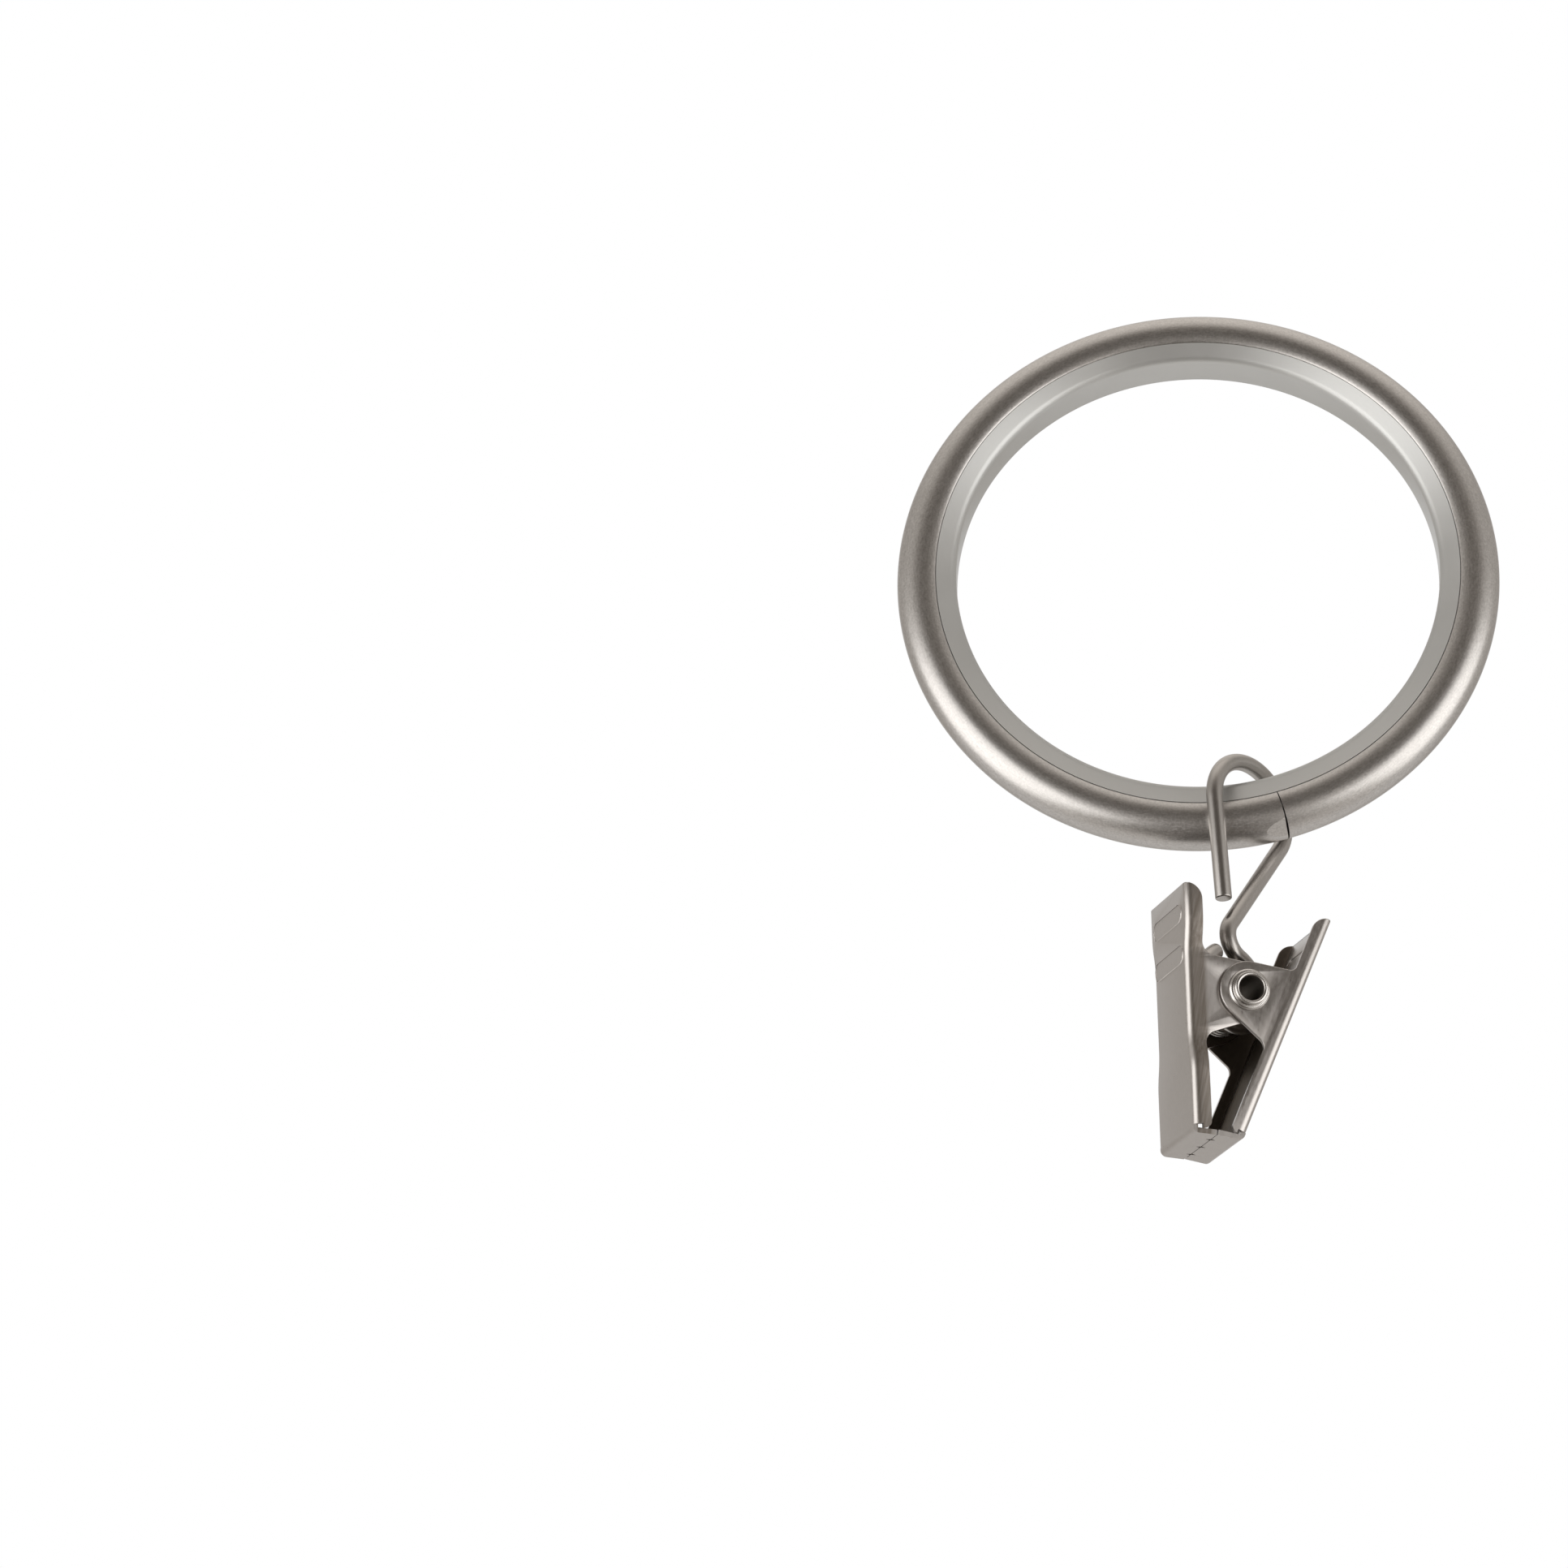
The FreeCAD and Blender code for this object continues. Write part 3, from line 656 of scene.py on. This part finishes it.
# %% [markdown]
# ## The hook
# One wire makes the whole hook: a free leg, a loop over the ring, a back leg that crosses under the
# loop, a small bend and an eye round the rivet. The bend touches the back leg and the eye, which
# settles how long the back leg is, in the same way as in the solids.

# %% Hook
WIRE = 1.3 * MM
LOOP = 4.0 * MM
LEG_LEAN = math.radians(20.0)
FREE_LEG = 8.45 * MM
EYE_R = 3.06 * MM
BEND = 1.7 * MM
EYE_SWEEP = math.radians(311.0)
END_ROUND = 0.12 * MM
LOOP_STEPS = 72
BEND_STEPS = 28
EYE_STEPS = 96
WIRE_SIDES = 40
WIRE_CREASE = 60.0


def hook_points():
    def flat(x, z):
        return Vector((x, 0, z))

    def arc(cx, cz, r, a0, a1, steps):
        return [(x, 0, z) for x, z, _ in arc_points(cx, cz, r, a0, a1, steps)]

    left = flat(-LOOP * math.cos(LEG_LEAN), -LOOP * math.sin(LEG_LEAN))
    right = flat(LOOP * math.cos(LEG_LEAN), -LOOP * math.sin(LEG_LEAN))
    free = left + flat(math.sin(LEG_LEAN), -math.cos(LEG_LEAN)) * FREE_LEG
    down = flat(-math.sin(LEG_LEAN), -math.cos(LEG_LEAN))
    side = flat(math.cos(LEG_LEAN), -math.sin(LEG_LEAN))
    away = right + side * BEND - EYE
    b = away.dot(down)
    length = -b - math.sqrt(b * b - away.dot(away) + (BEND + EYE_R) ** 2)
    bend = right + down * length + side * BEND
    toward = (EYE - bend).normalized()
    a0 = math.atan2(-side.z, -side.x) % (2 * math.pi)
    a1 = math.atan2(toward.z, toward.x) % (2 * math.pi)
    a1 += 2 * math.pi if a1 < a0 else 0
    e0 = math.atan2(-toward.z, -toward.x)
    return ([tuple(free)] + arc(0, 0, LOOP, math.pi + LEG_LEAN, -LEG_LEAN, LOOP_STEPS)
            + arc(bend.x, bend.z, BEND, a0, a1, BEND_STEPS)
            + arc(EYE.x, EYE.z, EYE_R, e0, e0 - EYE_SWEEP, EYE_STEPS)[1:])


hook = run_tree("hook_wire", bent_wire, with_round_ends(hook_points(), END_ROUND), False,
                {"Wire": WIRE, "Sides": WIRE_SIDES, "End round": END_ROUND, "Material": wire_metal},
                hook_place, WIRE_CREASE)

# %% [markdown]
# ## The spring
# A torsion spring sits on the rivet beside the eye. Its coil winds from a leg behind the rear handle
# to a leg behind the front handle. The coil's line is a helix, and each leg leaves it along its
# tangent, so the wire has no kink.

# %% Spring
REAR_DEPTH = 3.95 * MM
BARREL = 1.2 * MM
SPRING_WIRE = 0.6 * MM
COIL_CLEAR = 0.07 * MM
COIL = BARREL + COIL_CLEAR + SPRING_WIRE / 2
SPRING_FROM = -3.45 * MM
SPRING_TO = -2.0 * MM
SPRING_TURNS = 2
JAW_SHEET = 0.4 * MM
LEG_CLEAR = 0.05 * MM
LEG_HEIGHT = 4.6 * MM
LEG_REACH = JAW_SHEET + LEG_CLEAR + SPRING_WIRE / 2
SPRING_END = 0.06 * MM
COIL_STEPS = 150
SPRING_SIDES = 20


def spring_points():
    def leg_end(depth, side):
        near = depth - LEG_REACH
        return (side * (near * math.cos(JAW_TILT) + LEG_HEIGHT * math.sin(JAW_TILT)),
                -near * math.sin(JAW_TILT) + LEG_HEIGHT * math.cos(JAW_TILT))

    front, rear = leg_end(FRONT_DEPTH, -1), leg_end(REAR_DEPTH, 1)
    start = math.atan2(front[1], front[0]) + math.acos(COIL / math.hypot(*front))
    stop = math.atan2(rear[1], rear[0]) - math.acos(COIL / math.hypot(*rear))
    sweep = (stop - start) % (2 * math.pi) + SPRING_TURNS * 2 * math.pi
    run = SPRING_TO - SPRING_FROM
    slope = run / sweep / COIL
    coil = []
    for i in range(COIL_STEPS + 1):
        a = stop - sweep * i / COIL_STEPS
        coil.append(Vector((COIL * math.cos(a), COIL * math.sin(a), SPRING_FROM + run * i / COIL_STEPS)))
    low_way = Vector((-math.sin(stop), math.cos(stop), -slope)).normalized()
    high_way = Vector((math.sin(start), -math.cos(start), slope)).normalized()
    low_end = coil[0] + low_way * math.hypot(rear[0] - coil[0].x, rear[1] - coil[0].y)
    high_end = coil[-1] + high_way * math.hypot(front[0] - coil[-1].x, front[1] - coil[-1].y)
    # The coil was drawn about Z; on the clip its axis is X, towards the rear is Y and up is Z.
    return [(p.z, p.x, p.y) for p in [low_end] + coil + [high_end]]


spring = run_tree("spring_coil", bent_wire, with_round_ends(spring_points(), SPRING_END), False,
                  {"Wire": SPRING_WIRE, "Sides": SPRING_SIDES, "End round": SPRING_END,
                   "Material": spring_metal}, clip_place, WIRE_CREASE)

# %% [markdown]
# ## The rivet
# The rivet is a short tube whose ends are rolled outwards over the ears. Its half section is
# softened at each corner, because rolled metal has no sharp edge, and carried round the axis.

# %% Rivet
RIVET_BORE = 0.95 * MM
HEAD = 1.6 * MM
HEAD_T = 0.25 * MM
ROLL = 1.32 * MM
CLIP_WIDTH = 9.6 * MM
HEAD_CLEAR = 0.04 * MM
HEAD_STANDS = 0.8 * MM
HEAD_SEAT = CLIP_WIDTH / 2 + HEAD_CLEAR
HEAD_END = CLIP_WIDTH / 2 + HEAD_STANDS
ROLL_STEPS = 16
RIVET_STEPS = 96
RIVET_CREASE = 50.0
RIVET_SOFT = 0.08 * MM
SOFT_STEPS = 4
SOFT_BEND = 25
SOFT_SHARE = 0.45


def softened(points, radius):
    # Each corner that bends enough is swapped for a short curve, which keeps to its share of both sides.
    made = []
    for i, point in enumerate(points):
        here = Vector(point)
        before = Vector(points[i - 1]) - here
        after = Vector(points[(i + 1) % len(points)]) - here
        bend = before.angle(-after)
        if math.degrees(bend) < SOFT_BEND:
            made.append(tuple(here))
            continue
        cut = min(radius * math.tan(bend / 2), SOFT_SHARE * before.length, SOFT_SHARE * after.length)
        a, b = here + before.normalized() * cut, here + after.normalized() * cut
        for k in range(SOFT_STEPS + 1):
            t = k / SOFT_STEPS
            made.append(tuple(a * (1 - t) ** 2 + here * (2 * t * (1 - t)) + b * t * t))
    return made


def rivet_line():
    roll = (ROLL - RIVET_BORE) / 2
    middle = (ROLL + RIVET_BORE) / 2
    half = [(BARREL, HEAD_SEAT), (HEAD, HEAD_SEAT), (HEAD, HEAD_SEAT + HEAD_T / 2),
            ((ROLL + HEAD) / 2, HEAD_SEAT + HEAD_T), (ROLL, HEAD_SEAT + HEAD_T)]
    half = [(r - BARREL, y, 0) for r, y in half]
    half += arc_points(middle - BARREL, HEAD_END - roll, roll, 0, math.pi, ROLL_STEPS)
    return softened([(x, -y, z) for x, y, z in reversed(half)] + half, RIVET_SOFT)


on_axis = clip_place @ Matrix.Rotation(-math.pi / 2, 4, "Z")
rivet = run_tree("rivet_rolled", carried_round, rivet_line(), True,
                 {"Radius": BARREL, "Steps": RIVET_STEPS, "Whole": True, "Material": rivet_metal},
                 on_axis, RIVET_CREASE)

# %% [markdown]
# ## The two jaws
# Each jaw is one stamped and folded sheet, and its solid already has the folds, ears, ribs and
# teeth. What a solid lacks is the softness of a sheared edge, which catches the light as a pale
# line, and the low swell of a stamped rib. These helpers lower the ribs and mark the sheared edges
# that are to be rounded. The lip's small teeth and notches are left crisp.

# %% Jaw helpers
RIB_SOFTEN = 0.6
LIP_TOP = -10.2 * MM
SHEARED = math.radians(40)
to_clip = clip_place.inverted()


def lower_ribs(shape, depth, side):
    # The ribs stand proud of the broad face: their height there is brought down to a soft swell.
    out = jaw_outward(side)
    for v in shape.verts:
        spot = to_clip @ v.co
        proud = spot.dot(out) - depth
        if proud > 0:
            v.co = clip_place @ (spot - out * proud * RIB_SOFTEN)


def mark_sheared(shape):
    # The Bevel modifier rounds the edges that carry a weight, which are those above the lip.
    weight = shape.edges.layers.float.new("bevel_weight_edge")
    for e in shape.edges:
        high = all((to_clip @ v.co).z > LIP_TOP for v in e.verts)
        sheared = e.calc_face_angle(0) > SHEARED
        e[weight] = 1.0 if high and sheared else 0.0
        e.smooth = high or not sheared
    for f in shape.faces:
        f.smooth = True


print("edges are rounded above, in mm from the rivet", round(LIP_TOP / MM, 1))

# %% [markdown]
# ## Dressing a jaw
# The solid's mesh is loose triangles, so a copy of it is merged first. Then its ribs are lowered, its
# flat faces are joined, and a Bevel modifier rounds the marked edges. The finished mesh is kept and
# the modifier removed.

# %% Jaws
EDGE_ROUND = 0.08 * MM
EDGE_STEPS = 3
MERGE = 1e-7
FLAT_ENOUGH = math.radians(0.5)


def rounded_copy(node, name, material, depth, side):
    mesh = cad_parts[node].data.copy()
    mesh.name = name
    shape = bmesh.new()
    shape.from_mesh(mesh)
    bmesh.ops.remove_doubles(shape, verts=shape.verts, dist=MERGE)
    lower_ribs(shape, depth, side)
    bmesh.ops.dissolve_limit(shape, angle_limit=FLAT_ENOUGH, verts=shape.verts, edges=shape.edges)
    mark_sheared(shape)
    shape.to_mesh(mesh)
    shape.free()
    piece = bpy.data.objects.new(name, mesh)
    bpy.context.scene.collection.objects.link(piece)
    mesh.materials.clear()
    mesh.materials.append(material)
    bevel = piece.modifiers.new("sheared_edge", "BEVEL")
    bevel.width = EDGE_ROUND
    bevel.segments = EDGE_STEPS
    bevel.limit_method = "WEIGHT"
    bevel.harden_normals = True
    bevel.use_clamp_overlap = False
    bpy.context.view_layer.update()
    ready = piece.evaluated_get(bpy.context.evaluated_depsgraph_get())
    finished = bpy.data.meshes.new_from_object(ready)
    piece.modifiers.remove(bevel)
    piece.data = finished
    print(name, "faces", len(finished.polygons))
    return piece


front_jaw = rounded_copy("front_jaw", "front_jaw_stamped", front_metal, FRONT_DEPTH, -1)
rear_jaw = rounded_copy("rear_jaw", "rear_jaw_stamped", rear_metal, REAR_DEPTH, 1)

# %% [markdown]
# ## Hand each piece to its body
# A piece that stands for a solid hides it and rides on the same body, so it follows every joint.
# The spring is different: one leg turns with each jaw, so it joins no body and stays where it is
# drawn.

# %% Bodies
for piece, node, body, slot in ((ring, "ring_channel", "ring", "ring_metal"),
                                (liner, "ring_liner", "ring", "liner"),
                                (hook, "hook", "hook", "wire"),
                                (rivet, "rivet", "front", "rivet_metal"),
                                (front_jaw, "front_jaw", "front", "clip_metal"),
                                (rear_jaw, "rear_jaw", "rear", "clip_metal")):
    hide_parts(node)
    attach(piece, body)
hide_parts("spring")
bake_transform(spring)

# %% [markdown]
# ## The room
# Satin metal shows the room around it. The room is a middle grey with a lighter ceiling, and it is
# darker and warmer behind the camera, which draws the dark band along the tube. The camera sees
# plain white, as in a cut-out product picture. A mirrored ray sees that white too where it goes
# straight behind the object, and so does a ray that passes through the liner.

# %% Room
ROOM_GREY = 0.46
ROOM_DARK = 0.11
OVERHEAD = 0.45
ROOM_COLOUR = (1, 0.94, 0.875, 1)
DARK_COLOUR = (1, 0.88, 0.77, 1)
WHITE = (1, 1, 1, 1)
DARK_Y = -0.92
LIT_Y = -0.45
CEILING = (0.70, 0.95)
BEHIND = (0.90, 0.97)
VIEW_WAY = Vector((-0.04953, 0.88860, 0.45601))


def studio_world():
    world = bpy.data.worlds.new("studio")
    bpy.context.scene.world = world
    world.use_nodes = True
    tree = world.node_tree
    tree.nodes.clear()
    out = add(tree, "ShaderNodeOutputWorld")
    way = add(tree, "ShaderNodeTexCoord").outputs["Generated"]
    split = add(tree, "ShaderNodeSeparateXYZ", [(0, way)]).outputs
    lit = add(tree, "ShaderNodeMapRange", [("Value", split["Y"]), ("From Min", DARK_Y), ("From Max", LIT_Y)],
              interpolation_type="SMOOTHSTEP").outputs[0]
    walls = maths(tree, "MULTIPLY_ADD", lit, ROOM_GREY - ROOM_DARK, ROOM_DARK)
    level = maths(tree, "MULTIPLY_ADD", ramp(tree, split["Z"], *CEILING), OVERHEAD, walls)
    room = add(tree, "ShaderNodeBackground", [("Color", colour_mix(tree, lit, DARK_COLOUR, ROOM_COLOUR)),
                                              ("Strength", level)])
    white = add(tree, "ShaderNodeBackground", [("Color", WHITE), ("Strength", 1.0)])
    rays = add(tree, "ShaderNodeLightPath").outputs
    ahead = ramp(tree, vectors(tree, "DOT_PRODUCT", way, VIEW_WAY), *BEHIND)
    mirrored = maths(tree, "MULTIPLY", rays["Is Glossy Ray"], ahead)
    clear = maths(tree, "MAXIMUM", rays["Is Transmission Ray"], mirrored)
    seen = maths(tree, "MAXIMUM", rays["Is Camera Ray"], clear)
    mix = add(tree, "ShaderNodeMixShader", [(0, seen), (1, room.outputs[0]), (2, white.outputs[0])])
    tree.links.new(mix.outputs[0], out.inputs["Surface"])
    print("room", world.name, "nodes", len(tree.nodes))


studio_world()

# %% [markdown]
# ## The floor
# The ring hangs high above a floor of pale paper, which fades to white in the distance. In the
# metal the paper shows twice: as a dark card between the lights, below and in front of the object,
# which darkens the underside of the tube, and as a brighter sheet behind it. Only mirrored rays
# see these two, so they show in reflections and change nothing else.

# %% Floor
FLOOR_Z = -0.7
FLOOR_HALF = 4.0
FLOOR_WHITE = 0.6
PAPER = (0.86, 0.855, 0.85, 1)
DARK_PAPER = (0.12, 0.105, 0.092, 1)
MIRRORED_WHITE = 0.35
CARD_SIDE = (0.45, 0.20)
CARD_BACK = (0.10, -0.15)
SHEET_FRONT = (0.1, 0.5)
FADE = (0.8, 3.0)


def floor_material():
    material, tree = new_material("pale_floor")
    out = add(tree, "ShaderNodeOutputMaterial")
    rays = add(tree, "ShaderNodeLightPath").outputs
    where = add(tree, "ShaderNodeTexCoord").outputs["Object"]
    split = add(tree, "ShaderNodeSeparateXYZ", [(0, where)]).outputs
    across = maths(tree, "ABSOLUTE", split["X"])
    card = product(tree, rays["Is Glossy Ray"], ramp(tree, across, *CARD_SIDE),
                   ramp(tree, split["Y"], *CARD_BACK))
    paper = add(tree, "ShaderNodeBsdfDiffuse", [("Color", colour_mix(tree, card, PAPER, DARK_PAPER))])
    white = add(tree, "ShaderNodeEmission", [("Color", WHITE), ("Strength", 1.0)])
    pale = ramp(tree, vectors(tree, "LENGTH", where), *FADE, FLOOR_WHITE)
    seen = product(tree, rays["Is Camera Ray"], pale)
    behind = product(tree, rays["Is Glossy Ray"], ramp(tree, split["Y"], *SHEET_FRONT), MIRRORED_WHITE)
    share = maths(tree, "MAXIMUM", seen, behind)
    mix = add(tree, "ShaderNodeMixShader", [(0, share), (1, paper.outputs[0]), (2, white.outputs[0])])
    tree.links.new(mix.outputs[0], out.inputs["Surface"])
    return material


corners = [(x * FLOOR_HALF, y * FLOOR_HALF, FLOOR_Z) for x, y in ((-1, -1), (1, -1), (1, 1), (-1, 1))]
floor_mesh = bpy.data.meshes.new("floor")
floor_mesh.from_pydata(corners, [], [(0, 1, 2, 3)])
floor = bpy.data.objects.new("floor", floor_mesh)
bpy.context.scene.collection.objects.link(floor)
floor_mesh.materials.append(floor_material())
print("floor at", FLOOR_Z)

# %% [markdown]
# ## Soft lights
# Two broad soft lights stand left and right of the camera, a little below the object. Their mirror
# images are the two long highlights on the tube. A lamp's brightness is given as the light that
# leaves each patch of it, so a wider lamp stays as bright to look at.

# %% Soft lights
LAMP_COLOUR = (1.0, 0.995, 0.985)
LAMP_AWAY = 0.65


def soft_light(name, azimuth, elevation, width, height, radiance):
    a, e = math.radians(azimuth), math.radians(elevation)
    spot = Vector((math.sin(a) * math.cos(e), -math.cos(a) * math.cos(e), math.sin(e))) * LAMP_AWAY
    lamp = bpy.data.lights.new(name, "AREA")
    lamp.shape = "RECTANGLE"
    lamp.size = width
    lamp.size_y = height
    lamp.energy = radiance * math.pi * width * height
    lamp.color = LAMP_COLOUR
    holder = bpy.data.objects.new(name, lamp)
    holder.location = spot
    holder.rotation_euler = (-spot).to_track_quat("-Z", "Y").to_euler()
    holder.visible_camera = False
    bpy.context.scene.collection.objects.link(holder)
    print(name, "watts", round(lamp.energy, 2))


soft_light("soft_left", azimuth=-60, elevation=-16, width=0.86, height=0.66, radiance=1.55)
soft_light("soft_right", azimuth=66, elevation=-13, width=0.72, height=0.56, radiance=1.45)

# %% [markdown]
# ## The camera
# The photograph looks up at the ring from about 27 degrees below and a little to one side, through
# a long lens. The place and the lens come from fitting the ring's ellipses and the clip's corners.

# %% Camera
CAMERA_AT = (-0.00326, -0.52764, -0.28794)
SENSOR = 36.0
LENS = 174.73

camera_data = bpy.data.cameras.new("camera")
camera_data.sensor_width = SENSOR
camera_data.lens = LENS
camera = bpy.data.objects.new("camera", camera_data)
camera.location = CAMERA_AT
camera.rotation_euler = VIEW_WAY.to_track_quat("-Z", "Y").to_euler()
bpy.context.scene.collection.objects.link(camera)
bpy.context.scene.camera = camera
bpy.context.scene.view_settings.view_transform = "Standard"
print("camera at", [round(v, 4) for v in camera.location])
